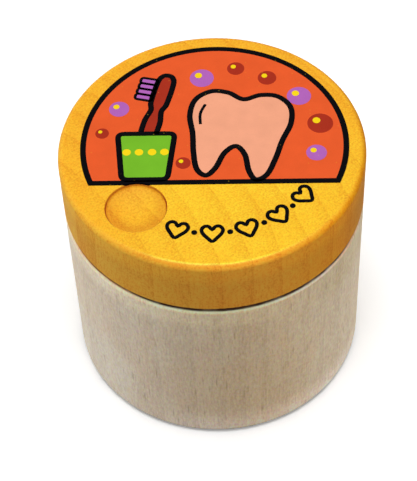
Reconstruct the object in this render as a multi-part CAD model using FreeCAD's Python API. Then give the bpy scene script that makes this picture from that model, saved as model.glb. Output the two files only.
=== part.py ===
import FreeCAD, Part
import math
import os

Vector = FreeCAD.Vector

# A round turned keepsake box for baby teeth. The lid swings sideways on a screw that runs up through the body's wall.
# The origin is the centre of the underside, +Z is up, and -Y is the front. All sizes are in millimetres and degrees.

# Outer sizes
box_diameter = 45.0
body_height = 32.35
lid_thickness = 9.7
lid_gap = 0.3              # running gap between the body's top face and the lid

# Rounded edges
body_top_round = 0.7
body_bottom_round = 1.2
lid_top_round = 0.9
lid_bottom_round = 0.3

# The well that holds the teeth, bored on the body's axis
well_diameter = 24.0
well_floor = 6.0           # wood left under the well
well_mouth_round = 0.5
well_bottom_round = 0.4
well_centre_mark_radius = 1.0
well_centre_mark_depth = 0.8

# The finger dish in the lid's top, a short sloping wall around a shallow bowl
dish_diameter = 9.0
dish_wall_width = 0.3
dish_wall_depth = 0.6
dish_bowl_depth = 0.9      # below the foot of the wall
dish_land = 2.4            # flat wood between the dish and the lid's edge
dish_angle = 227.0         # from +X, so the dish lies at the front left
dish_rim_round = 0.2
dish_foot_round = 0.4

# The pivot screw, its washer and the plug below its head
screw_diameter = 3.0
screw_core_diameter = 2.1
screw_head_diameter = 5.8
screw_head_height = 2.0
screw_head_round = 1.1
screw_point_length = 2.6
screw_thread_length = 16.0
screw_thread_pitch = 1.25
screw_thread_base = 0.8    # width of the thread's root along the axis
screw_thread_sink = 0.15   # how far the thread's root reaches into the core
screw_in_lid = 6.45        # length of screw inside the lid
recess_length = 3.2
recess_width = 0.9
recess_depth = 1.1
recess_taper = 0.6         # size of the recess at its floor, as a share of its mouth
washer_diameter = 6.2
washer_thickness = 0.5
plug_length = 4.0
plug_recess = 0.2          # the plug stops short of the underside
plug_chamfer = 0.4
head_room = 2.9            # air between the plug and the screw's head

# Fits, as radial clearances
running_clearance = 0.075
thread_clearance = 0.02
counterbore_clearance = 0.2
glue_clearance = 0.02
drill_point_angle = 118.0
overcut = 1.0              # how far a cutter passes through the face that it opens
edge_search = 0.01         # how near an edge's centre lies to the place where it is looked for

# Sizes worked out from the driving ones
box_radius = box_diameter / 2
well_radius = well_diameter / 2
lid_bottom = body_height + lid_gap
lid_top = lid_bottom + lid_thickness
dish_radius = dish_diameter / 2
bowl_radius = dish_radius - dish_wall_width
dish_distance = box_radius - dish_land - dish_radius
pivot_distance = (box_radius + well_radius) / 2    # the middle of the wall, so that half a turn clears the well
pivot_angle = dish_angle - 180.0                   # the screw stands opposite the dish
screw_radius = screw_diameter / 2
counterbore_radius = washer_diameter / 2 + counterbore_clearance
washer_bottom = plug_recess + plug_length + head_room + screw_head_height
counterbore_depth = washer_bottom + washer_thickness
screw_length = lid_bottom + screw_in_lid - washer_bottom


def around_axis(distance, angle):
    return Vector(distance * math.cos(math.radians(angle)), distance * math.sin(math.radians(angle)), 0)


dish_place = around_axis(dish_distance, dish_angle)
pivot_place = around_axis(pivot_distance, pivot_angle)


# The two ends and the middle of the arc that rounds one corner of an outline
def corner_arc(before, corner, after, radius):
    to_before = (before - corner).normalize()
    to_after = (after - corner).normalize()
    half_angle = to_before.getAngle(to_after) / 2
    inward = (to_before + to_after).normalize()
    centre = corner + inward * (radius / math.sin(half_angle))
    setback = radius / math.tan(half_angle)
    return corner + to_before * setback, centre - inward * radius, corner + to_after * setback


# A solid turned about Z from the corners of its half section, each a radius, a height and a rounding
def turned(*corners):
    points = [Vector(radius, 0, height) for radius, height, rounding in corners]
    count = len(points)
    spans = []
    for index, corner in enumerate(corners):
        rounding = corner[2]
        if rounding:
            spans.append(corner_arc(points[index - 1], points[index], points[(index + 1) % count], rounding))
        else:
            spans.append((points[index], None, points[index]))
    edges = []
    for index, (start, middle, end) in enumerate(spans):
        if middle:
            edges.append(Part.Arc(start, middle, end).toShape())
        edges.append(Part.LineSegment(end, spans[(index + 1) % count][0]).toShape())
    section = Part.Face(Part.Wire(edges))
    return section.revolve(Vector(0, 0, 0), Vector(0, 0, 1), 360)


def moved(shape, place):
    shape.translate(place)
    return shape


# Cup with the well, and the stepped hole for the pivot screw through its wall
def make_body():
    cup = turned(
        (0, 0, 0),
        (box_radius, 0, body_bottom_round),
        (box_radius, body_height, body_top_round),
        (well_radius, body_height, well_mouth_round),
        (well_radius, well_floor, well_bottom_round),
        (well_centre_mark_radius, well_floor, 0),
        (0, well_floor - well_centre_mark_depth, 0),
    )
    hole_radius = screw_radius + running_clearance
    stepped_hole = turned(
        (0, -overcut, 0),
        (counterbore_radius, -overcut, 0),
        (counterbore_radius, counterbore_depth, 0),
        (hole_radius, counterbore_depth, 0),
        (hole_radius, body_height + overcut, 0),
        (0, body_height + overcut, 0),
    )
    return cup.cut(moved(stepped_hole, pivot_place))


# The finger dish: a taper for the wall, closed below by a ball for the bowl
def dish_cutter():
    wall_slope = dish_wall_width / dish_wall_depth
    foot = lid_top - dish_wall_depth
    floor = foot - dish_bowl_depth
    taper = turned(
        (0, floor, 0),
        (bowl_radius - dish_bowl_depth * wall_slope, floor, 0),
        (dish_radius + overcut * wall_slope, lid_top + overcut, 0),
        (0, lid_top + overcut, 0),
    )
    ball_radius = (bowl_radius ** 2 + dish_bowl_depth ** 2) / (2 * dish_bowl_depth)
    ball = Part.makeSphere(ball_radius, Vector(0, 0, floor + ball_radius))
    return moved(taper.common(ball), dish_place)


# Disc with the finger dish in its top and the blind screw hole in its underside
def make_lid():
    disc = turned(
        (0, lid_bottom, 0),
        (box_radius, lid_bottom, lid_bottom_round),
        (box_radius, lid_top, lid_top_round),
        (0, lid_top, 0),
    )
    softened = disc.cut(dish_cutter())
    for height, rounding in ((lid_top, dish_rim_round), (lid_top - dish_wall_depth, dish_foot_round)):
        centre = dish_place + Vector(0, 0, height)
        ring = [edge for edge in softened.Edges if edge.isClosed() and edge.CenterOfMass.isEqual(centre, edge_search)]
        softened = softened.makeFillet(rounding, ring)
    hole_radius = screw_radius + thread_clearance
    hole_top = lid_bottom + screw_in_lid
    point_height = hole_radius / math.tan(math.radians(drill_point_angle / 2))
    screw_hole = turned(
        (0, lid_bottom - overcut, 0),
        (hole_radius, lid_bottom - overcut, 0),
        (hole_radius, hole_top, 0),
        (0, hole_top + point_height, 0),
    )
    return softened.cut(moved(screw_hole, pivot_place))


# One tapered slot of the cross recess, opening downwards out of the screw's head
def recess_slot(length, width):
    def outline(share, height):
        half_length, half_width = share * length / 2, share * width / 2
        corners = [(-1, -1), (1, -1), (1, 1), (-1, 1), (-1, -1)]
        return Part.makePolygon([Vector(x * half_length, y * half_width, height) for x, y in corners])
    mouth = outline(1.0, -screw_head_height)
    floor = outline(recess_taper, recess_depth - screw_head_height)
    return Part.makeLoft([mouth, floor], True, True)


# Wood screw standing on its head, with its bearing face at the washer
def make_pivot_screw():
    core_radius = screw_core_diameter / 2
    point_start = screw_length - screw_point_length
    thread_start = point_start - screw_thread_length
    taper_height = screw_radius - core_radius
    blank = turned(
        (0, -screw_head_height, 0),
        (screw_head_diameter / 2, -screw_head_height, screw_head_round),
        (screw_head_diameter / 2, 0, 0),
        (screw_radius, 0, 0),
        (screw_radius, thread_start, 0),
        (core_radius, thread_start + taper_height, 0),
        (core_radius, point_start, 0),
        (0, screw_length, 0),
    )
    root_radius = core_radius - screw_thread_sink
    thread_height = screw_thread_length - screw_thread_base
    helix = Part.makeHelix(screw_thread_pitch, thread_height, root_radius)
    ridge = Part.makePolygon([
        Vector(root_radius, 0, -screw_thread_base / 2),
        Vector(screw_radius, 0, 0),
        Vector(root_radius, 0, screw_thread_base / 2),
        Vector(root_radius, 0, -screw_thread_base / 2),
    ])
    thread = Part.Wire(helix.Edges).makePipeShell([ridge], True, True)
    thread.translate(Vector(0, 0, thread_start + screw_thread_base / 2))
    screw = blank.fuse(thread)
    for slot in (recess_slot(recess_length, recess_width), recess_slot(recess_width, recess_length)):
        screw = screw.cut(slot)
    return moved(screw, pivot_place + Vector(0, 0, washer_bottom))


def make_pivot_washer():
    washer_top = washer_bottom + washer_thickness
    hole_radius = screw_radius + running_clearance
    washer = turned(
        (hole_radius, washer_bottom, 0),
        (washer_diameter / 2, washer_bottom, 0),
        (washer_diameter / 2, washer_top, 0),
        (hole_radius, washer_top, 0),
    )
    return moved(washer, pivot_place)


# Plug glued into the counterbore, with a chamfered leading end
def make_bottom_plug():
    plug_radius = counterbore_radius - glue_clearance
    plug_top = plug_recess + plug_length
    plug = turned(
        (0, plug_recess, 0),
        (plug_radius, plug_recess, 0),
        (plug_radius, plug_top - plug_chamfer, 0),
        (plug_radius - plug_chamfer, plug_top, 0),
        (0, plug_top, 0),
    )
    return moved(plug, pivot_place)


pieces = {
    "body": make_body(),
    "lid": make_lid(),
    "pivot_screw": make_pivot_screw(),
    "pivot_washer": make_pivot_washer(),
    "bottom_plug": make_bottom_plug(),
}

os.makedirs("parts", exist_ok=True)
for name, shape in pieces.items():
    solids = len(shape.Solids)
    print(f"{name}: {solids} solid, valid {shape.isValid()}, {shape.Volume:.1f} mm3")
    shape.exportStep(f"parts/{name}.step")
print(f"screw {screw_length:.2f} long, pivot {pivot_distance:.2f} from the axis at {pivot_angle:.1f} degrees")
print(f"wall outside the counterbore {box_radius - pivot_distance - counterbore_radius:.2f}")
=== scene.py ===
import math

import bmesh
import bpy
from mathutils import Matrix, Vector


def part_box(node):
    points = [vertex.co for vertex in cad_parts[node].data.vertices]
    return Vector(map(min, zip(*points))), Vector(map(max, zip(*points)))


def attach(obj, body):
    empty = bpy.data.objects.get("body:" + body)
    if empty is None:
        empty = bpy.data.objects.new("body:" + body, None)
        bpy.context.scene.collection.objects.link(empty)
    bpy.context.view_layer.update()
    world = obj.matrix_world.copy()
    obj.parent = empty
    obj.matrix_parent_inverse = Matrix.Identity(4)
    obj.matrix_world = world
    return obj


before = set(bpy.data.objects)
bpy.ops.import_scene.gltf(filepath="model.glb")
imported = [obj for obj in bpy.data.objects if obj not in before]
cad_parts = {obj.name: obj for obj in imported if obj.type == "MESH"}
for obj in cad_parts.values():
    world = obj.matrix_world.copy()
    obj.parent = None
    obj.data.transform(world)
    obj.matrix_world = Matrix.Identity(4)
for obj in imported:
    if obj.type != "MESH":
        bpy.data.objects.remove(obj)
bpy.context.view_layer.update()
print("frame loaded:", sorted(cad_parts))

mm = 0.001
lidLow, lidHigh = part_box("lid")
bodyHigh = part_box("body")[1]
boxRadius = lidHigh.x / mm
lidFoot = lidLow.z / mm
lidTop = lidHigh.z / mm
bodyTop = bodyHigh.z / mm

# the finger dish as it is turned into the lid, in millimetres
dish = {
    "distance": 15.6, "angle": math.radians(227), "radius": 4.5,
    "wallWidth": 0.3, "wallDepth": 0.6, "bowlDepth": 0.9,
}
dishCentre = Vector((math.cos(dish["angle"]), math.sin(dish["angle"]))) * dish["distance"]
bowlRadius = dish["radius"] - dish["wallWidth"]

# objects and materials


def addObject(name, data):
    made = bpy.data.objects.new(name, data)
    bpy.context.scene.collection.objects.link(made)
    return made


def newMaterial(name):
    material = bpy.data.materials.new(name)
    material.use_nodes = True
    return material, material.node_tree, material.node_tree.nodes["Principled BSDF"]


def paint(piece, material):
    piece.data.materials.clear()
    piece.data.materials.append(material)


# one node, with its settings and with values or links on its inputs
def put(tree, kind, settings=None, inputs=None):
    node = tree.nodes.new(kind)
    for key, value in (settings or {}).items():
        setattr(node, key, value)
    for key, value in (inputs or {}).items():
        socket = node.inputs[key]
        if isinstance(value, bpy.types.NodeSocket):
            tree.links.new(value, socket)
        else:
            socket.default_value = value
    return node


def maths(tree, operation, *values):
    node = put(tree, "ShaderNodeMath", {"operation": operation}, dict(enumerate(values)))
    return node.outputs[0]


def vectorMaths(tree, operation, *values):
    return put(tree, "ShaderNodeVectorMath", {"operation": operation}, dict(enumerate(values))).outputs


def product(tree, values):
    result = values[0]
    for value in values[1:]:
        result = maths(tree, "MULTIPLY", result, value)
    return result


def opposite(tree, value):
    return maths(tree, "SUBTRACT", 1.0, value)


# 1 below low, 0 above high, smooth between
def fade(tree, value, low, high):
    node = put(tree, "ShaderNodeMapRange", {"interpolation_type": "SMOOTHSTEP"}, {
        "Value": value, "From Min": low, "From Max": high, "To Min": 1.0, "To Max": 0.0})
    return node.outputs["Result"]


mixShare, mixFirst, mixSecond, mixResult = 0, 6, 7, 2  # a Mix node's sockets when it mixes colours


def withAlpha(colour):
    return colour if isinstance(colour, bpy.types.NodeSocket) else (*colour, 1)


def mixed(tree, share, first, second, blend="MIX", clamped=False):
    settings = {"data_type": "RGBA", "blend_type": blend, "clamp_result": clamped}
    node = put(tree, "ShaderNodeMix", settings, {
        mixShare: share, mixFirst: withAlpha(first), mixSecond: withAlpha(second)})
    return node.outputs[mixResult]


# a colour multiplied by a tint, where share is 1
def tinted(tree, share, colour, tint):
    return mixed(tree, share, colour, tint, "MULTIPLY", True)


# object coordinates in millimetres, turned about the box's axis and then moved sideways
def millimetres(tree, turn=0.0, shift=0.0):
    place = put(tree, "ShaderNodeTexCoord").outputs["Object"]
    node = put(tree, "ShaderNodeMapping", inputs={
        "Vector": place, "Scale": (1 / mm,) * 3, "Rotation": (0, 0, turn), "Location": (shift, 0, 0)})
    return node.outputs[0]


# coordinates for a pattern, its size given as width and height
def stretched(tree, vector, size):
    width, height = size
    node = put(tree, "ShaderNodeMapping", inputs={
        "Vector": vector, "Scale": (1 / width, 1 / width, 1 / height)})
    return node.outputs[0]


# noise about a middle value
def noise(tree, vector, size, strength=1.0, middle=0.0, detail=2.0, roughness=0.5):
    node = put(tree, "ShaderNodeTexNoise", inputs={
        "Vector": stretched(tree, vector, size), "Scale": 1.0, "Detail": detail, "Roughness": roughness})
    return maths(tree, "MULTIPLY_ADD", node.outputs["Fac"], strength, middle - strength / 2)


# a spot in each cell of a pattern, fading out over its edge, and the cells' random colours
def spotsInCells(tree, vector, size, edge):
    node = put(tree, "ShaderNodeTexVoronoi", inputs={
        "Vector": stretched(tree, vector, size), "Scale": 1.0})
    return fade(tree, node.outputs["Distance"], *edge), node.outputs["Color"]


def redPart(tree, colour):
    return put(tree, "ShaderNodeSeparateColor", inputs={0: colour}).outputs[0]


# distance from an upright axis
def awayFrom(tree, vector, centre=(0, 0)):
    moved = vectorMaths(tree, "SUBTRACT", vector, (*centre, 0))["Vector"]
    flat = vectorMaths(tree, "MULTIPLY", moved, (1, 1, 0))["Vector"]
    return vectorMaths(tree, "LENGTH", flat)["Value"]


# colour, roughness and relief onto a shader
def dress(tree, shader, colour, roughness, relief, finish, inwards=False):
    bump = put(tree, "ShaderNodeBump", {"invert": inwards}, {
        "Height": relief, "Strength": finish["bumpStrength"], "Distance": finish["bumpDepth"] * mm})
    tree.links.new(colour, shader.inputs["Base Color"])
    tree.links.new(roughness, shader.inputs["Roughness"])
    tree.links.new(bump.outputs[0], shader.inputs["Normal"])


# camera

cameraSetup = {
    "place": (6.733 * mm, -165.477 * mm, 230.123 * mm),
    "forward": (-0.02939, 0.61854, -0.78520),
    "up": (0.01112, 0.78569, 0.61851),
    "focalPixels": 1717.9,  # in the photograph's own pixels
    "imageHeight": 481,
    "sensor": 36.0,
    "clip": (0.01, 10.0),
}


def addCamera(setup):
    data = bpy.data.cameras.new("camera")
    data.sensor_width = setup["sensor"]
    data.lens = setup["focalPixels"] * setup["sensor"] / setup["imageHeight"]
    data.clip_start, data.clip_end = setup["clip"]
    camera = addObject("camera", data)
    forward = Vector(setup["forward"]).normalized()
    right = forward.cross(Vector(setup["up"])).normalized()
    up = right.cross(forward)
    turn = Matrix((right, up, -forward)).transposed().to_4x4()
    camera.matrix_world = Matrix.Translation(setup["place"]) @ turn
    bpy.context.scene.camera = camera


addCamera(cameraSetup)
print("camera placed")

# wood, cut from a round bar: the grain stands upright and the pith lies outside the box
# sizes are width and height in millimetres, edges are where a spot fades out within its cell

bodyBar = {
    "pithAngle": math.radians(48), "pithDistance": 61.0,
    "ringSpacing": 3.4, "ringSharpness": 3.0, "ringWobble": 1.3, "wobbleSize": (13, 70),
    "fleckSize": (0.42, 2.4), "fleckEdge": (0.10, 0.45), "fleckMiddle": 0.35,
    "fibreSize": (0.26, 2.8),
    "poreSize": (0.20, 1.1), "poreEdge": (0.05, 0.55),
    "toneSize": (6, 18),
    "mottleSize": (0.30, 0.9),
    "strokeSize": (0.95, 9.0), "strokeEdge": (0.04, 0.20),
}
lidBar = {**bodyBar, "pithAngle": math.radians(38), "pithDistance": 74.0, "ringSpacing": 4.3,
          "mottleSize": (0.28, 0.40)}
plugBar = {**bodyBar, "pithAngle": math.radians(160), "pithDistance": 39.0, "ringSpacing": 2.2}

# what every wooden surface shares
woodSurface = {
    "blushMiddle": 0.4,
    # the patchiness of the painted light and painted shade rings
    "lightPatchSize": (1.1, 1.1), "lightPatchMiddle": 0.75,
    "shadePatchSize": (2.2, 2.2), "shadePatchStrength": 1.6, "shadePatchMiddle": 0.85,
    "ringCore": 0.3,  # the share of its reach that a ring covers in full
    "grainRoughness": 0.15, "bumpStrength": 0.25, "bumpDepth": 0.04,
}

# a stain or a patch of painted light or shade starts at "from" and is full at "to", as distances from an
# upright axis, within its limits
# a ring lies at a radius and a height, and "about" and "spread" keep it to a part of the wall
# a share over 1 fills a ring out, because a mix takes no more than 1
naturalFinish = {
    "pale": (0.85, 0.738, 0.505), "dark": (0.44, 0.30, 0.170), "base": 0.13,
    "strengths": {"ring": 0.12, "fleck": 0.42, "fibre": 0.56, "pore": 0.12, "tone": 0.36,
                  "mottle": 0.72, "stroke": 0.42},
    "blushes": [
        {"tint": (1.0, 0.90, 0.86), "size": (2.2, 5.0), "strength": 2.0},
        {"tint": (1.0, 0.81, 0.98), "size": (0.36, 0.5), "strength": 3.0},
        {"tint": (1.0, 0.99, 0.72), "size": (0.45, 0.4), "strength": 3.0},
    ],
    "stainsAndPaintedLight": {
        # left and right: painted light, a cooler light on the box's left and right sides
        "left": {"tint": (0.92, 0.985, 1.15), "about": (24.0, 6.0), "from": 32.0, "to": 46.0},
        "right": {"tint": (0.97, 1.05, 1.17), "about": (-24.0, -6.0), "from": 36.0, "to": 45.0},
    },
    "paintedLightAndShadeRings": {
        # painted light: the upper left and upper front of the wall lit paler
        "rimLeftLight": {"at": (boxRadius, bodyTop - 0.7), "reach": 4.4, "tint": (1.22, 1.27, 1.22),
                    "about": (-14.5, -17.2), "spread": (10, 36)},
        "rimFrontLight": {"at": (boxRadius, bodyTop - 3.0), "reach": 6.5, "tint": (1.08, 1.10, 1.08),
                     "about": (4.0, -22.0), "spread": (6, 18)},
        # painted shade under the lid on the right
        "rimRightShade": {"at": (boxRadius, bodyTop - 3.0), "reach": 6.5, "tint": (0.88, 0.86, 0.74),
                     "about": (22.0, -6.0), "spread": (7, 16)},
        # painted shade across the middle of the front
        "waistFrontShade": {"at": (boxRadius, bodyTop - 19.5), "reach": 9.0, "tint": (0.94, 0.92, 0.87),
                       "about": (4.0, -22.1), "spread": (4, 16)},
        # painted light: a cooler light low on the left
        "waistLeftCoolLight": {"at": (boxRadius, bodyTop - 25.5), "reach": 11.0, "tint": (1.01, 1.07, 1.14),
                      "about": (-21.0, -8.0), "spread": (6, 18)},
        # painted highlights along the body's top edge under the seam, on the left, front and right
        "edgeLeftHighlight": {"at": (boxRadius - 0.12, bodyTop - 0.38), "reach": 0.75, "tint": (1.70, 1.19, 1.08),
                     "share": 1.4, "about": (-14.5, -17.2), "spread": (12, 30)},
        "edgeFrontHighlight": {"at": (boxRadius - 0.15, bodyTop - 0.35), "reach": 0.50, "tint": (1.66, 1.22, 1.27),
                      "share": 1.4, "about": (8.0, -20.5), "spread": (8, 24)},
        "edgeRightHighlight": {"at": (boxRadius - 0.15, bodyTop - 0.35), "reach": 0.50, "tint": (1.0, 1.18, 1.35),
                      "share": 1.4, "about": (13.5, -18.0), "spread": (3, 10)},
        # painted shade: a brown dark line along the seam on the left
        "edgeBrownShade": {"at": (boxRadius - 0.30, bodyTop - 0.13), "reach": 0.32, "tint": (1.0, 0.55, 0.30),
                      "share": 1.3, "about": (-19.0, -12.0), "spread": (6, 14)},
        # foot: painted light, floor light bounced onto the lower front and right of the wall
        "foot": {"at": (boxRadius, -3.0), "reach": 10.0, "tint": (1.48, 1.57, 1.92),
                 "about": (11.0, -19.5), "spread": (8, 26)},
    },
    "paintedShadeRings": {
        # painted shade in the seam under the lid
        "seamShade": {"at": (boxRadius - 0.40, bodyTop - 0.07), "reach": 0.36, "colour": (0.07, 0.018, 0.003)},
        "seamFrontShade": {"at": (boxRadius - 0.28, bodyTop - 0.15), "reach": 0.30, "share": 0.8,
                      "colour": (0.12, 0.07, 0.045), "about": (9.0, -20.6), "spread": (10, 20)},
        # foot: a painted contact shadow along the bottom edge
        "foot": {"at": (boxRadius - 0.28, 0.42), "reach": 0.75, "share": 0.9,
                 "colour": (0.12, 0.08, 0.045)},
    },
    "roughness": 0.60, "specular": 0.10,
    "duller": {},
}
yellowFinish = {
    "pale": (1.0, 0.690, 0.032), "dark": (0.72, 0.29, 0.007), "base": 0.15,
    "strengths": {"ring": 0.26, "fleck": 0.34, "fibre": 0.95, "pore": 0.18, "tone": 0.36,
                  "mottle": 1.50, "stroke": 0.10},
    "blushes": [
        {"tint": (1.0, 0.90, 0.80), "size": (3.0, 4.0), "strength": 2.0},
        {"tint": (1.0, 0.84, 0.75), "size": (0.34, 0.5), "strength": 3.0},
    ],
    "stainsAndPaintedLight": {
        "side": {"tint": (1.05, 0.745, 1.40), "from": boxRadius - 1.0, "to": boxRadius - 0.1},
        # painted shade: the lid's side darker lower down
        "sideLowShade": {"tint": (0.87, 0.86, 0.95), "from": boxRadius - 1.0, "to": boxRadius - 0.1,
                    "below": (lidTop - 4.8, lidTop - 1.6)},
        # painted light: a cooler light on the lid's left side
        "sideLeftCoolLight": {"tint": (0.82, 0.935, 1.00), "about": (24.0, 6.0), "from": 34.0, "to": 46.0,
                     "within": "side"},
        # painted shade on the lid's right side and far right
        "sideRightShade": {"tint": (0.80, 0.70, 0.10), "about": (-24.0, -12.0), "from": 31.0, "to": 45.0,
                      "within": "side"},
        "sideFarShade": {"tint": (0.70, 0.74, 0.60), "about": (-26.4, -4.7), "from": 45.0, "to": 49.2,
                    "within": "side"},
        "broad": {"tint": (0.97, 0.78, 0.90), "about": (5.5, -9.5), "from": 5.0, "to": 28.5,
                  "outside": "side"},
        # painted shade in the dish: a little darker all over it, darker towards its wall, a dark line at
        # its rim and dark crescents at its left and right
        "dish": {"tint": (0.96, 0.925, 0.97), "about": dishCentre, "from": dish["radius"],
                 "to": dish["radius"] - 0.12, "above": (lidTop - 2.5, lidTop - 2.0)},
        "bowlWallShade": {"tint": (0.89, 0.77, 0.90), "about": dishCentre + Vector((-0.2, 1.0)), "from": 2.0,
                     "to": bowlRadius, "within": "dish"},
        "dishRimShade": {"tint": (0.70, 0.50, 0.60), "about": dishCentre, "from": dish["radius"] - 0.26,
                     "to": dish["radius"] - 0.14, "within": "dish"},
        "dishLeftShade": {"tint": (0.80, 0.40, 0.60), "about": dishCentre + Vector((-4.3, -0.9)), "from": 2.6,
                     "to": 0.8, "within": "dishRimShade"},
        "dishRightShade": {"tint": (0.62, 0.22, 0.50), "about": dishCentre + Vector((4.4, 0.8)), "from": 2.0,
                      "to": 0.6, "within": "dishRimShade"},
    },
    "paintedLightAndShadeRings": {
        # edge: a painted highlight along the front of the top edge
        "edge": {"at": (boxRadius - 0.78, lidTop), "reach": 0.26, "tint": (1.0, 1.50, 1.50),
                 "about": (1.0, -21.6), "spread": (5, 14)},
        # painted shade just outside the highlight, down the bend of the edge
        "bendShade": {"at": (boxRadius - 0.38, lidTop - 0.12), "reach": 0.34, "tint": (0.95, 0.70, 0.50),
                 "share": 0.6, "about": (0, -22), "spread": (7, 18)},
    },
    "paintedShadeRings": {
        # painted shade on the lid's lower edge in the seam
        "seamShade": {"at": (boxRadius - 0.15, lidFoot + 0.05), "reach": 0.40, "colour": (0.08, 0.022, 0.003)},
    },
    "roughness": 0.30, "specular": 0.14,
    "duller": {"dish": 0.30, "side": 0.40},  # rougher than the sanded top by this much
}
plugFinish = {**naturalFinish, "base": 0.42}


# growth rings: each year's wood darkens towards its end
def growthRings(tree, grain, bar):
    wobble = noise(tree, grain, bar["wobbleSize"], 2 * bar["ringWobble"])
    years = maths(tree, "DIVIDE", maths(tree, "ADD", awayFrom(tree, grain), wobble), bar["ringSpacing"])
    late = maths(tree, "POWER", maths(tree, "FRACT", years), bar["ringSharpness"])
    return maths(tree, "SUBTRACT", late, 1 / (bar["ringSharpness"] + 1))


# ray flecks, each darker or paler than the wood around it
def rayFlecks(tree, grain, bar):
    fleck, cellColour = spotsInCells(tree, grain, bar["fleckSize"], bar["fleckEdge"])
    shade = maths(tree, "SUBTRACT", redPart(tree, cellColour), bar["fleckMiddle"])
    return maths(tree, "MULTIPLY", fleck, shade)


# how far the grain takes the wood from pale to dark
def grainDepth(tree, grain, bar, finish):
    parts = {
        "ring": growthRings(tree, grain, bar),
        "fleck": rayFlecks(tree, grain, bar),
        "fibre": noise(tree, grain, bar["fibreSize"], detail=3.0, roughness=0.6),
        "pore": spotsInCells(tree, grain, bar["poreSize"], bar["poreEdge"])[0],
        "tone": noise(tree, grain, bar["toneSize"]),
        "mottle": noise(tree, grain, bar["mottleSize"], roughness=0.6),
        "stroke": spotsInCells(tree, grain, bar["strokeSize"], bar["strokeEdge"])[0],
    }
    depth = finish["base"]
    for label, strength in finish["strengths"].items():
        depth = maths(tree, "MULTIPLY_ADD", parts[label], strength, depth)
    return depth


# a place on the box, with its height and its distance from the box's axis
def boxPlace(tree):
    place = millimetres(tree)
    height = put(tree, "ShaderNodeSeparateXYZ", inputs={0: place}).outputs["Z"]
    return {"place": place, "height": height, "radius": awayFrom(tree, place)}


# how much of each stain or patch of painted light or shade lies on a place, from 0 to 1
def tintCover(tree, here, stainsAndPaintedLight):
    cover = {}
    for label, tintArea in stainsAndPaintedLight.items():
        away = awayFrom(tree, here["place"], tintArea.get("about", (0, 0)))
        limits = [opposite(tree, fade(tree, away, tintArea["from"], tintArea["to"]))]
        if "below" in tintArea:
            limits.append(fade(tree, here["height"], *tintArea["below"]))
        if "above" in tintArea:
            limits.append(opposite(tree, fade(tree, here["height"], *tintArea["above"])))
        if "within" in tintArea:
            limits.append(cover[tintArea["within"]])
        if "outside" in tintArea:
            limits.append(opposite(tree, cover[tintArea["outside"]]))
        cover[label] = product(tree, limits)
    return cover


# 1 at a ring about the box's axis and 0 at its reach
def nearRing(tree, here, ring):
    radius, height = ring["at"]
    outwards = maths(tree, "SUBTRACT", here["radius"], radius)
    upwards = maths(tree, "SUBTRACT", here["height"], height)
    squares = [maths(tree, "POWER", offset, 2.0) for offset in (outwards, upwards)]
    away = maths(tree, "SQRT", maths(tree, "ADD", *squares))
    core = woodSurface["ringCore"] * ring["reach"]
    limits = [fade(tree, away, core, ring["reach"]), ring.get("share", 1.0)]
    if "about" in ring:
        limits.append(fade(tree, awayFrom(tree, here["place"], ring["about"]), *ring["spread"]))
    return product(tree, limits)


# rings of painted light and painted shade: paler and darker tints where light and shade fall, painted
# shade in the seam and a painted contact shadow at the foot, all patchy
def paintedLightAndShade(tree, here, colour, finish):
    lightPatches = noise(tree, here["place"], woodSurface["lightPatchSize"],
                 middle=woodSurface["lightPatchMiddle"], detail=3.0)
    for ring in finish["paintedLightAndShadeRings"].values():
        share = maths(tree, "MULTIPLY", nearRing(tree, here, ring), lightPatches)
        colour = tinted(tree, share, colour, ring["tint"])
    shadePatches = noise(tree, here["place"], woodSurface["shadePatchSize"], woodSurface["shadePatchStrength"],
                  woodSurface["shadePatchMiddle"])
    for ring in finish["paintedShadeRings"].values():
        share = maths(tree, "MULTIPLY", nearRing(tree, here, ring), shadePatches)
        colour = mixed(tree, share, colour, ring["colour"])
    return colour


def woodMaterial(name, bar, finish):
    material, tree, shader = newMaterial(name)
    here = boxPlace(tree)
    grain = millimetres(tree, -bar["pithAngle"], bar["pithDistance"])
    depth = grainDepth(tree, grain, bar, finish)
    colour = mixed(tree, depth, finish["pale"], finish["dark"])
    for blush in finish["blushes"]:  # patches of another hue
        share = noise(tree, grain, blush["size"], blush["strength"], woodSurface["blushMiddle"],
                      detail=3.0, roughness=0.6)
        colour = tinted(tree, share, colour, blush["tint"])
    cover = tintCover(tree, here, finish["stainsAndPaintedLight"])
    for label, tintArea in finish["stainsAndPaintedLight"].items():
        colour = tinted(tree, cover[label], colour, tintArea["tint"])
    colour = paintedLightAndShade(tree, here, colour, finish)
    gloss = maths(tree, "MULTIPLY_ADD", depth, woodSurface["grainRoughness"], finish["roughness"])
    for label, extra in finish["duller"].items():
        gloss = maths(tree, "MULTIPLY_ADD", cover[label], extra, gloss)
    shader.inputs["Specular IOR Level"].default_value = finish["specular"]
    dress(tree, shader, colour, gloss, depth, woodSurface, inwards=True)
    return material


# zinc plate: cloudy, a little streaked
zincFinish = {
    "bright": (0.72, 0.73, 0.74), "dull": (0.48, 0.49, 0.51),
    "cloudSize": (1.2, 1.2), "scratchSize": (0.6, 0.05),
    "roughness": 0.30, "cloudRoughness": 0.2, "bumpStrength": 0.2, "bumpDepth": 0.02,
}


def zincMaterial(finish):
    material, tree, shader = newMaterial("zincPlate")
    place = millimetres(tree)
    cloud = noise(tree, place, finish["cloudSize"], middle=0.5, detail=4.0, roughness=0.6)
    scratch = noise(tree, place, finish["scratchSize"])
    colour = mixed(tree, cloud, finish["bright"], finish["dull"])
    streaks = maths(tree, "ADD", cloud, scratch)
    gloss = maths(tree, "MULTIPLY_ADD", streaks, finish["cloudRoughness"], finish["roughness"])
    shader.inputs["Metallic"].default_value = 1.0
    dress(tree, shader, colour, gloss, scratch, finish)
    return material


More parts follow.
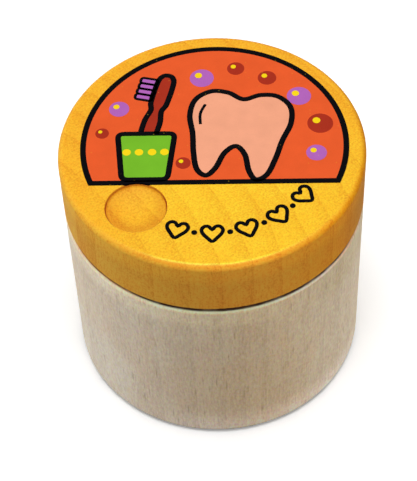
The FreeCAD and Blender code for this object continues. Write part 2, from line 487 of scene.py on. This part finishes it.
zincPlate = zincMaterial(zincFinish)
paint(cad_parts["body"], woodMaterial("naturalWood", bodyBar, naturalFinish))
paint(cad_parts["bottom_plug"], woodMaterial("plugWood", plugBar, plugFinish))
paint(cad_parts["lid"], woodMaterial("yellowWood", lidBar, yellowFinish))
paint(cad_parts["pivot_screw"], zincPlate)
paint(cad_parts["pivot_washer"], zincPlate)
print("wood and metal finished")

# printing inks, with small pinholes and an uneven coat

inkColours = {
    "orange": (0.800, 0.108, 0.026), "peach": (0.880, 0.376, 0.226), "red": (0.392, 0.032, 0.014),
    "green": (0.180, 0.478, 0.024), "violet": (0.440, 0.128, 0.476), "yellow": (0.980, 0.665, 0.010),
    "black": (0.002, 0.002, 0.003),
}
inkFinish = {
    "cloudSize": (2.4, 2.4), "gritSize": (0.16, 0.16), "gritStrength": 0.7,
    "thickLevel": 0.92, "thinLevel": 1.12,  # a thick coat is darker than a thin one
    "pinholeSize": (0.5, 0.5), "pinholeEdge": (0.10, 0.22), "pinholeRarity": 0.94, "pinholeShare": 0.40,
    "roughness": 0.60, "coatRoughness": 0.12, "specular": 0.02, "bumpStrength": 0.15, "bumpDepth": 0.02,
}


def inkMaterial(name, colour, finish):
    material, tree, shader = newMaterial(name + "Ink")
    place = millimetres(tree)
    cloud = noise(tree, place, finish["cloudSize"], middle=0.5, detail=3.0)
    coat = maths(tree, "ADD", cloud, noise(tree, place, finish["gritSize"], finish["gritStrength"]))
    thick = [channel * finish["thickLevel"] for channel in colour]
    thin = [min(channel * finish["thinLevel"], 1.0) for channel in colour]
    wood = [(channel + under) / 2 for channel, under in zip(colour, yellowFinish["pale"])]
    hole, cellColour = spotsInCells(tree, place, finish["pinholeSize"], finish["pinholeEdge"])
    rare = maths(tree, "GREATER_THAN", redPart(tree, cellColour), finish["pinholeRarity"])
    bare = product(tree, [hole, rare, finish["pinholeShare"]])
    inked = mixed(tree, bare, mixed(tree, coat, thick, thin), wood)
    gloss = maths(tree, "MULTIPLY_ADD", coat, finish["coatRoughness"], finish["roughness"])
    shader.inputs["Specular IOR Level"].default_value = finish["specular"]
    dress(tree, shader, inked, gloss, coat, finish)
    return material


inks = {name: inkMaterial(name, colour, inkFinish) for name, colour in inkColours.items()}
print("inks mixed")

# outlines on the lid's top, in millimetres: x to the right, y to the far side


def arcLine(centre, radius, start, sweep, steps):
    angles = [start + sweep * index / steps for index in range(steps + 1)]
    return [Vector((centre[0] + radius * math.cos(a), centre[1] + radius * math.sin(a))) for a in angles]


# smooth line through given points
def through(points, closed=True, steps=8):
    points = [Vector(point) for point in points]
    ring = [points[-1]] + points + points[:2] if closed else [points[0]] + points + [points[-1]]
    line = []
    for a, b, c, d in zip(ring, ring[1:], ring[2:], ring[3:]):
        for index in range(steps):
            t = index / steps
            square = 2 * a - 5 * b + 4 * c - d
            cube = 3 * b - a - 3 * c + d
            line.append((2 * b + (c - a) * t + square * t ** 2 + cube * t ** 3) / 2)
    return line if closed else line + [points[-1]]


# polygon with its corners rounded off
def softened(corners, reach, steps=6):
    corners = [Vector(corner) for corner in corners]
    line = []
    for before, corner, after in zip(corners[-1:] + corners[:-1], corners, corners[1:] + corners[:1]):
        start = corner + (before - corner).normalized() * reach
        end = corner + (after - corner).normalized() * reach
        for index in range(steps + 1):
            t = index / steps
            line.append(start * (1 - t) ** 2 + corner * 2 * t * (1 - t) + end * t ** 2)
    return line


# the other half of a line, mirrored, added to its end
def mirrored(half):
    return half + [(-x, y) for x, y in reversed(half) if x]


def placed(line, at, turn=0.0):
    rotation = Matrix.Rotation(math.radians(turn), 2)
    return [rotation @ Vector(point) + Vector(at) for point in line]


# the print's layers, as heights over the lid's top, and its lines
inkSetup = {
    "sunk": 0.01,  # every layer starts this far down in the wood
    "fieldTop": 0.03, "motifTop": 0.045, "overTop": 0.055, "lineTop": 0.065,
    "outline": 0.85, "fine": 0.45, "step": 0.25, "dotSides": 40, "weld": 0.001,
}


def inkHeight(layer):
    return (inkSetup[layer] + inkSetup["sunk"]) * mm


# node trees for the print


def startTree(name, sockets):
    tree = bpy.data.node_groups.new(name, "GeometryNodeTree")
    tree.interface.new_socket("Geometry", in_out="OUTPUT", socket_type="NodeSocketGeometry")
    tree.interface.new_socket("Geometry", in_out="INPUT", socket_type="NodeSocketGeometry")
    for label, kind in sockets.items():
        tree.interface.new_socket(label, in_out="INPUT", socket_type="NodeSocket" + kind)
    return tree, put(tree, "NodeGroupInput").outputs


def endTree(tree, shape, given):
    real = put(tree, "GeometryNodeRealizeInstances", inputs={0: shape})
    inked = put(tree, "GeometryNodeSetMaterial", inputs={
        "Geometry": real.outputs[0], "Material": given["Ink"]})
    put(tree, "NodeGroupOutput", inputs={0: inked.outputs[0]})
    return tree


# a flat sheet becomes a closed layer of ink
def thicken(tree, sheet, given):
    lift = put(tree, "ShaderNodeCombineXYZ", inputs={"Z": given["Ink Height"]}).outputs[0]
    upper = put(tree, "GeometryNodeExtrudeMesh", inputs={
        "Mesh": sheet, "Offset": lift, "Offset Scale": 1.0, "Individual": False}).outputs["Mesh"]
    under = put(tree, "GeometryNodeFlipFaces", inputs={"Mesh": sheet}).outputs[0]
    both = put(tree, "GeometryNodeJoinGeometry")
    for part in (upper, under):
        tree.links.new(part, both.inputs[0])
    welded = put(tree, "GeometryNodeMergeByDistance", inputs={
        "Geometry": both.outputs[0], "Distance": inkSetup["weld"] * mm})
    return welded.outputs[0]


def inkLineTree():
    tree, given = startTree("inkLine", {
        "Line Width": "Float", "Step": "Float", "Ink Height": "Float", "Ink": "Material"})
    path = put(tree, "GeometryNodeMeshToCurve", inputs={"Mesh": given["Geometry"]})
    even = put(tree, "GeometryNodeResampleCurve", {"mode": "LENGTH"}, {
        "Curve": path.outputs[0], "Length": given["Step"]})
    level = put(tree, "GeometryNodeSetCurveNormal", {"mode": "Z_UP"}, {"Curve": even.outputs[0]})
    half = maths(tree, "MULTIPLY", given["Line Width"], 0.5)
    left = put(tree, "ShaderNodeCombineXYZ", inputs={"X": maths(tree, "MULTIPLY", half, -1.0)})
    right = put(tree, "ShaderNodeCombineXYZ", inputs={"X": half})
    across = put(tree, "GeometryNodeCurvePrimitiveLine", inputs={
        "Start": left.outputs[0], "End": right.outputs[0]})
    ribbon = put(tree, "GeometryNodeCurveToMesh", inputs={
        "Curve": level.outputs[0], "Profile Curve": across.outputs[0]})
    return endTree(tree, thicken(tree, ribbon.outputs[0], given), given)


def inkFieldTree():
    tree, given = startTree("inkField", {"Ink Height": "Float", "Ink": "Material"})
    path = put(tree, "GeometryNodeMeshToCurve", inputs={"Mesh": given["Geometry"]})
    filled = put(tree, "GeometryNodeFillCurve", inputs={"Curve": path.outputs[0]})
    return endTree(tree, thicken(tree, filled.outputs[0], given), given)


def inkDotTree():
    tree, given = startTree("inkDot", {"Sides": "Int", "Ink Height": "Float", "Ink": "Material"})
    disc = put(tree, "GeometryNodeMeshCircle", {"fill_type": "NGON"}, {
        "Vertices": given["Sides"], "Radius": 1.0})
    size = put(tree, "GeometryNodeInputNamedAttribute", {"data_type": "FLOAT"}, {"Name": "size"})
    discs = put(tree, "GeometryNodeInstanceOnPoints", inputs={
        "Points": given["Geometry"], "Instance": disc.outputs[0], "Scale": size.outputs[0]})
    flat = put(tree, "GeometryNodeRealizeInstances", inputs={0: discs.outputs[0]})
    return endTree(tree, thicken(tree, flat.outputs[0], given), given)


# two motifs by turns along an arc, upright towards its centre
def inkRowTree():
    tree, given = startTree("inkRow", {
        "Count": "Int", "Radius": "Float", "Start": "Float", "Sweep": "Float",
        "Motif": "Object", "Between": "Object", "Ink": "Material"})
    arc = put(tree, "GeometryNodeCurveArc", {"mode": "RADIUS"}, {
        "Resolution": given["Count"], "Radius": given["Radius"],
        "Start Angle": given["Start"], "Sweep Angle": given["Sweep"]})
    stops = put(tree, "GeometryNodeCurveToPoints", {"mode": "EVALUATED"}, {"Curve": arc.outputs[0]})
    upright = put(tree, "FunctionNodeAlignRotationToVector", {"axis": "X", "pivot_axis": "Z"}, {
        "Vector": stops.outputs["Tangent"]})
    odd = maths(tree, "MODULO", put(tree, "GeometryNodeInputIndex").outputs[0], 2.0)
    row = put(tree, "GeometryNodeJoinGeometry")
    for label, chosen in (("Motif", opposite(tree, odd)), ("Between", odd)):
        motif = put(tree, "GeometryNodeObjectInfo", inputs={"Object": given[label]})
        spread = put(tree, "GeometryNodeInstanceOnPoints", inputs={
            "Points": stops.outputs["Points"], "Selection": chosen,
            "Instance": motif.outputs["Geometry"], "Rotation": upright.outputs[0]})
        tree.links.new(spread.outputs[0], row.inputs[0])
    return endTree(tree, row.outputs[0], given)


inkLine, inkField, inkDot, inkRow = inkLineTree(), inkFieldTree(), inkDotTree(), inkRowTree()


# a tree's result as a plain mesh
def grown(tree, source, values):
    piece = addObject(tree.name, source)
    modifier = piece.modifiers.new(tree.name, "NODES")
    modifier.node_group = tree
    for socket in tree.interface.items_tree:
        if socket.in_out == "INPUT" and socket.name in values:
            modifier[socket.identifier] = values[socket.name]
    evaluated = piece.evaluated_get(bpy.context.evaluated_depsgraph_get())
    mesh = bpy.data.meshes.new_from_object(evaluated)
    piece.modifiers.remove(modifier)
    bpy.data.objects.remove(piece)
    return mesh


def lineMesh(paths, closed=True):
    mesh = bpy.data.meshes.new("lines")
    points, edges = [], []
    for line in paths:
        first, count = len(points), len(line)
        points += [(x * mm, y * mm, 0) for x, y in line]
        joins = count if closed else count - 1
        edges += [(first + index, first + (index + 1) % count) for index in range(joins)]
    mesh.from_pydata(points, edges, [])
    return mesh


def lines(colour, paths, width, closed=True):
    return grown(inkLine, lineMesh(paths, closed), {
        "Line Width": width * mm, "Step": inkSetup["step"] * mm,
        "Ink Height": inkHeight("lineTop"), "Ink": inks[colour]})


def field(colour, paths, layer):
    return grown(inkField, lineMesh(paths), {"Ink Height": inkHeight(layer), "Ink": inks[colour]})


def dots(colour, spots, layer):
    mesh = bpy.data.meshes.new("spots")
    mesh.from_pydata([(x * mm, y * mm, 0) for x, y, radius in spots], [], [])
    sizes = mesh.attributes.new("size", "FLOAT", "POINT")
    sizes.data.foreach_set("value", [radius * mm for x, y, radius in spots])
    return grown(inkDot, mesh, {
        "Sides": inkSetup["dotSides"], "Ink Height": inkHeight(layer), "Ink": inks[colour]})


# depth of the dish below the lid's top
def dishDrop(x, y):
    away = (Vector((x, y)) - dishCentre).length
    if away > bowlRadius:
        return max(0.0, (dish["radius"] - away) / dish["wallWidth"] * dish["wallDepth"])
    ball = (bowlRadius ** 2 + dish["bowlDepth"] ** 2) / (2 * dish["bowlDepth"])
    return dish["wallDepth"] + math.sqrt(ball ** 2 - away ** 2) - (ball - dish["bowlDepth"])


# one body of ink from several meshes, lying on the lid and following the dish
def inkPiece(colour, meshes):
    shape = bmesh.new()
    for mesh in meshes:
        shape.from_mesh(mesh)
    for vertex in shape.verts:
        vertex.co.z += (lidTop - inkSetup["sunk"] - dishDrop(vertex.co.x / mm, vertex.co.y / mm)) * mm
    bmesh.ops.recalc_face_normals(shape, faces=shape.faces)
    mesh = bpy.data.meshes.new("print_" + colour)
    shape.to_mesh(mesh)
    shape.free()
    piece = addObject("print_" + colour, mesh)
    paint(piece, inks[colour])
    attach(piece, "lid")


# panel: a round field cut off by a straight line above the dish
panel = {
    "centre": (0.4, 0.4), "radius": 19.6, "chord": -7.35,
    "intoDish": 0.1,  # how far its line reaches over the dish's rim
    "strips": 5, "arcSteps": 240, "chordSteps": 144,
    "fieldEnd": 0.7,  # the colour ends under the black edge, this share of its width in
}


# a point of the straight line, moved back to the dish's rim where it would fall into the dish
def clearOfDish(point):
    inner = dish["radius"] - panel["intoDish"]
    aside = point.x - dishCentre.x
    if (point - dishCentre).length < inner:
        point.y = dishCentre.y + math.sqrt(inner ** 2 - aside ** 2)
    return point


# a line along the panel's black edge, from its outer side at 0 to its inner side at 1
def panelOutline(share):
    sides = []
    for inset in (0.0, inkSetup["outline"]):
        radius = panel["radius"] - inset
        chord = panel["chord"] + inset
        tilt = math.asin((chord - panel["centre"][1]) / radius)
        arc = arcLine(panel["centre"], radius, tilt, math.pi - 2 * tilt, panel["arcSteps"])
        span = (arc[0].x - arc[-1].x) / panel["chordSteps"]
        straight = [Vector((arc[-1].x + span * index, chord)) for index in range(1, panel["chordSteps"])]
        sides.append(arc + [clearOfDish(point) for point in straight])
    return [outer.lerp(inner, share) for outer, inner in zip(*sides)]


# the panel's black edge as a closed band
def panelBand():
    rings = [panelOutline(index / panel["strips"]) for index in range(panel["strips"] + 1)]
    count = len(rings[0])
    shape = bmesh.new()
    layers = []
    for height in (0.0, inkHeight("lineTop")):
        layers.append([[shape.verts.new((x * mm, y * mm, height)) for x, y in ring] for ring in rings])
    for index in range(count):
        after = (index + 1) % count
        for strip in range(panel["strips"]):
            for layer in layers:
                outer, inner = layer[strip], layer[strip + 1]
                shape.faces.new((outer[index], outer[after], inner[after], inner[index]))
        for ring in (0, panel["strips"]):
            bottom, top = layers[0][ring], layers[1][ring]
            shape.faces.new((bottom[index], bottom[after], top[after], top[index]))
    mesh = bpy.data.meshes.new("panelBand")
    shape.to_mesh(mesh)
    shape.free()
    return mesh


# motifs: a plain tooth, a cup with a brush, bubbles
tooth = {
    "at": (3.9, 2.9), "turn": -7,
    "half": [(0, 6.2), (2.4, 7.3), (5.0, 7.3), (7.1, 5.4), (7.5, 2.2), (6.6, -1.3),
             (6.0, -4.8), (5.1, -8.0), (3.6, -9.1), (2.4, -7.5), (1.5, -4.6), (0, -3.1)],
    "shine": [(-5.5, 4.6), (-6.0, 2.7), (-5.7, 0.6)],
}
cup = {
    "at": (-9.6, -6.35), "foot": 3.3, "rim": 4.2, "height": 8.8, "corner": 0.9,
    "dotsAcross": (-2.755, -0.95, 0.95, 2.755), "dotHeight": 5.2, "dotSize": 0.62,
}
brush = {
    "at": (-9.3, 2.6), "turn": -13,
    "half": [(1.15, 0), (1.15, 2.4), (0.8, 4.5), (1.2, 6.1), (1.2, 10.2), (0.75, 11.5), (0, 11.8)],
    "tufts": 4, "tuftStart": 6.2, "tuftWidth": 1.1, "tuftLength": 2.6, "tuftCorner": 0.45,
}
bubbles = {
    "violet": [(-1.6, 13.5, 1.8), (12.9, 9.6, 1.8), (15.2, -1.6, 1.5), (-13.8, 7.4, 1.5)],
    "red": [(3.5, 15.4, 1.3), (8.2, 13.4, 1.4), (15.9, 4.1, 1.9), (-16.1, 2.6, 1.0), (-4.1, -3.3, 1.1)],
    "shineAt": (-0.28, 0.30), "shineSize": 0.30,  # as shares of the bubble's radius
}


# one block of bristles, on the left of the brush's head
def tuft(index):
    low = brush["tuftStart"] + index * brush["tuftWidth"]
    high = low + brush["tuftWidth"]
    root = -max(x for x, y in brush["half"])
    tip = root - brush["tuftLength"]
    corners = [(root, low), (root, high), (tip, high), (tip, low)]
    return placed(softened(corners, brush["tuftCorner"]), brush["at"], brush["turn"])


def bubbleShine(x, y, radius):
    across, up = bubbles["shineAt"]
    return x + across * radius, y + up * radius, bubbles["shineSize"] * radius


toothLine = placed(through(mirrored(tooth["half"])), tooth["at"], tooth["turn"])
toothShine = placed(through(tooth["shine"], closed=False), tooth["at"], tooth["turn"])
cupCorners = [(-cup["foot"], 0), (cup["foot"], 0),
              (cup["rim"], cup["height"]), (-cup["rim"], cup["height"])]
cupLine = placed(softened(cupCorners, cup["corner"]), cup["at"])
dotLevel = cup["at"][1] + cup["dotHeight"]
cupDots = [(cup["at"][0] + across, dotLevel, cup["dotSize"]) for across in cup["dotsAcross"]]
brushLine = placed(through(mirrored(brush["half"]), closed=False), brush["at"], brush["turn"])
tuftLines = [tuft(index) for index in range(brush["tufts"])]
shines = [bubbleShine(*bubble) for bubble in bubbles["violet"] + bubbles["red"]]

# row of hearts and dots along the front
heartRow = {
    "radius": 16.3, "start": -107, "sweep": 71, "count": 9, "lineWidth": 0.55, "dotSize": 0.42,
    "half": [(0, 0.62), (0.45, 1.18), (1.05, 1.25), (1.5, 0.7), (1.35, 0.0), (0.75, -0.75), (0, -1.45)],
}


def rowMesh():
    heartLine = through(mirrored(heartRow["half"]))
    heart = addObject("heart", lines("black", [heartLine], heartRow["lineWidth"]))
    dot = addObject("dot", dots("black", [(0, 0, heartRow["dotSize"])], "lineTop"))
    mesh = grown(inkRow, bpy.data.meshes.new("row"), {
        "Count": heartRow["count"], "Radius": heartRow["radius"] * mm,
        "Start": math.radians(heartRow["start"]), "Sweep": math.radians(heartRow["sweep"]),
        "Motif": heart, "Between": dot, "Ink": inks["black"]})
    for motif in (heart, dot):
        bpy.data.objects.remove(motif)
    return mesh


inkPiece("orange", [field("orange", [panelOutline(panel["fieldEnd"])], "fieldTop")])
inkPiece("peach", [field("peach", [toothLine], "motifTop")])
inkPiece("green", [field("green", [cupLine], "overTop")])
inkPiece("red", [field("red", [brushLine], "motifTop"), dots("red", bubbles["red"], "motifTop")])
inkPiece("violet", [field("violet", tuftLines, "motifTop"), dots("violet", bubbles["violet"], "motifTop")])
inkPiece("yellow", [dots("yellow", shines + cupDots, "lineTop")])
inkPiece("black", [
    panelBand(),
    lines("black", [toothLine, cupLine], inkSetup["outline"]),
    lines("black", [brushLine], inkSetup["outline"], closed=False),
    lines("black", tuftLines, inkSetup["fine"]),
    lines("black", [toothShine], inkSetup["fine"], closed=False),
    rowMesh(),
])
print("lid printed")

# stage

stage = {
    "floorHalf": 1.5, "floorLevel": -0.02 * mm, "floorBounce": 0.56, "floorLift": 0.25,
    "shadowReach": (70, 180),  # in millimetres: the floor turns plain white further out
    "worldLevel": 0.13,
}


# 1 for the camera's own rays, by way of a mirror or glass too
def seenDirectly(tree):
    ray = put(tree, "ShaderNodeLightPath").outputs
    seen = maths(tree, "MAXIMUM", ray["Is Camera Ray"], ray["Is Glossy Ray"])
    return maths(tree, "MAXIMUM", seen, ray["Is Transmission Ray"])


# white paper to the eye, and a greyer one that throws less light back on the box
def floorMaterial(setup):
    material, tree, shader = newMaterial("floorPaper")
    tree.nodes.remove(shader)
    bounce = put(tree, "ShaderNodeBsdfDiffuse", inputs={"Color": (*(setup["floorBounce"],) * 3, 1)})
    paper = put(tree, "ShaderNodeBsdfDiffuse", inputs={"Color": (1, 1, 1, 1)})
    lift = put(tree, "ShaderNodeEmission", inputs={"Strength": setup["floorLift"]})
    bright = put(tree, "ShaderNodeAddShader", inputs={0: paper.outputs[0], 1: lift.outputs[0]})
    white = put(tree, "ShaderNodeEmission", inputs={"Strength": 1.0})
    near = fade(tree, awayFrom(tree, millimetres(tree)), *setup["shadowReach"])
    seen = put(tree, "ShaderNodeMixShader", inputs={0: near, 1: white.outputs[0], 2: bright.outputs[0]})
    floor = put(tree, "ShaderNodeMixShader", inputs={
        0: seenDirectly(tree), 1: bounce.outputs[0], 2: seen.outputs[0]})
    tree.links.new(floor.outputs[0], tree.nodes["Material Output"].inputs["Surface"])
    return material


def addFloor(setup):
    half, level = setup["floorHalf"], setup["floorLevel"]
    corners = [(-half, -half, level), (half, -half, level), (half, half, level), (-half, half, level)]
    mesh = bpy.data.meshes.new("floor")
    mesh.from_pydata(corners, [], [(0, 1, 2, 3)])
    floor = addObject("floor", mesh)
    paint(floor, floorMaterial(setup))


def addWorld(setup):
    world = bpy.data.worlds.new("studio")
    world.use_nodes = True
    bpy.context.scene.world = world
    tree = world.node_tree
    level = put(tree, "ShaderNodeMapRange", inputs={
        "Value": seenDirectly(tree), "To Min": setup["worldLevel"], "To Max": 1.0})
    tree.links.new(level.outputs[0], tree.nodes["Background"].inputs["Strength"])
    tree.nodes["Background"].inputs["Color"].default_value = (1, 1, 1, 1)


# places and sizes in metres, and whether a glossy surface mirrors the lamp
lamps = {
    "topLamp": {"place": (0.0, -0.04, 0.62), "size": (0.32, 0.32), "power": 3.20,
                "mirrored": True, "colour": (1.0, 1.0, 1.0)},
    "leftLamp": {"place": (-0.60, -0.03, 0.05), "size": (0.50, 0.04), "power": 1.84,
                 "mirrored": False, "colour": (0.86, 0.94, 1.0)},
    "rightLamp": {"place": (0.60, -0.03, 0.021), "size": (0.50, 0.04), "power": 1.08,
                  "mirrored": False, "colour": (1.0, 1.0, 1.0)},
}


def addLamps(setups):
    aim = Vector((0, 0, lidTop * mm / 2))
    for name, setup in setups.items():
        data = bpy.data.lights.new(name, "AREA")
        data.shape = "RECTANGLE"
        data.size, data.size_y = setup["size"]
        data.energy = setup["power"]
        data.color = setup["colour"]
        lamp = addObject(name, data)
        lamp.visible_camera = False
        lamp.visible_glossy = setup["mirrored"]
        lamp.location = setup["place"]
        lamp.rotation_mode = "QUATERNION"
        lamp.rotation_quaternion = (aim - lamp.location).to_track_quat("-Z", "Y")


addFloor(stage)
addWorld(stage)
addLamps(lamps)
bpy.context.scene.view_settings.view_transform = "Standard"
print("stage lit")
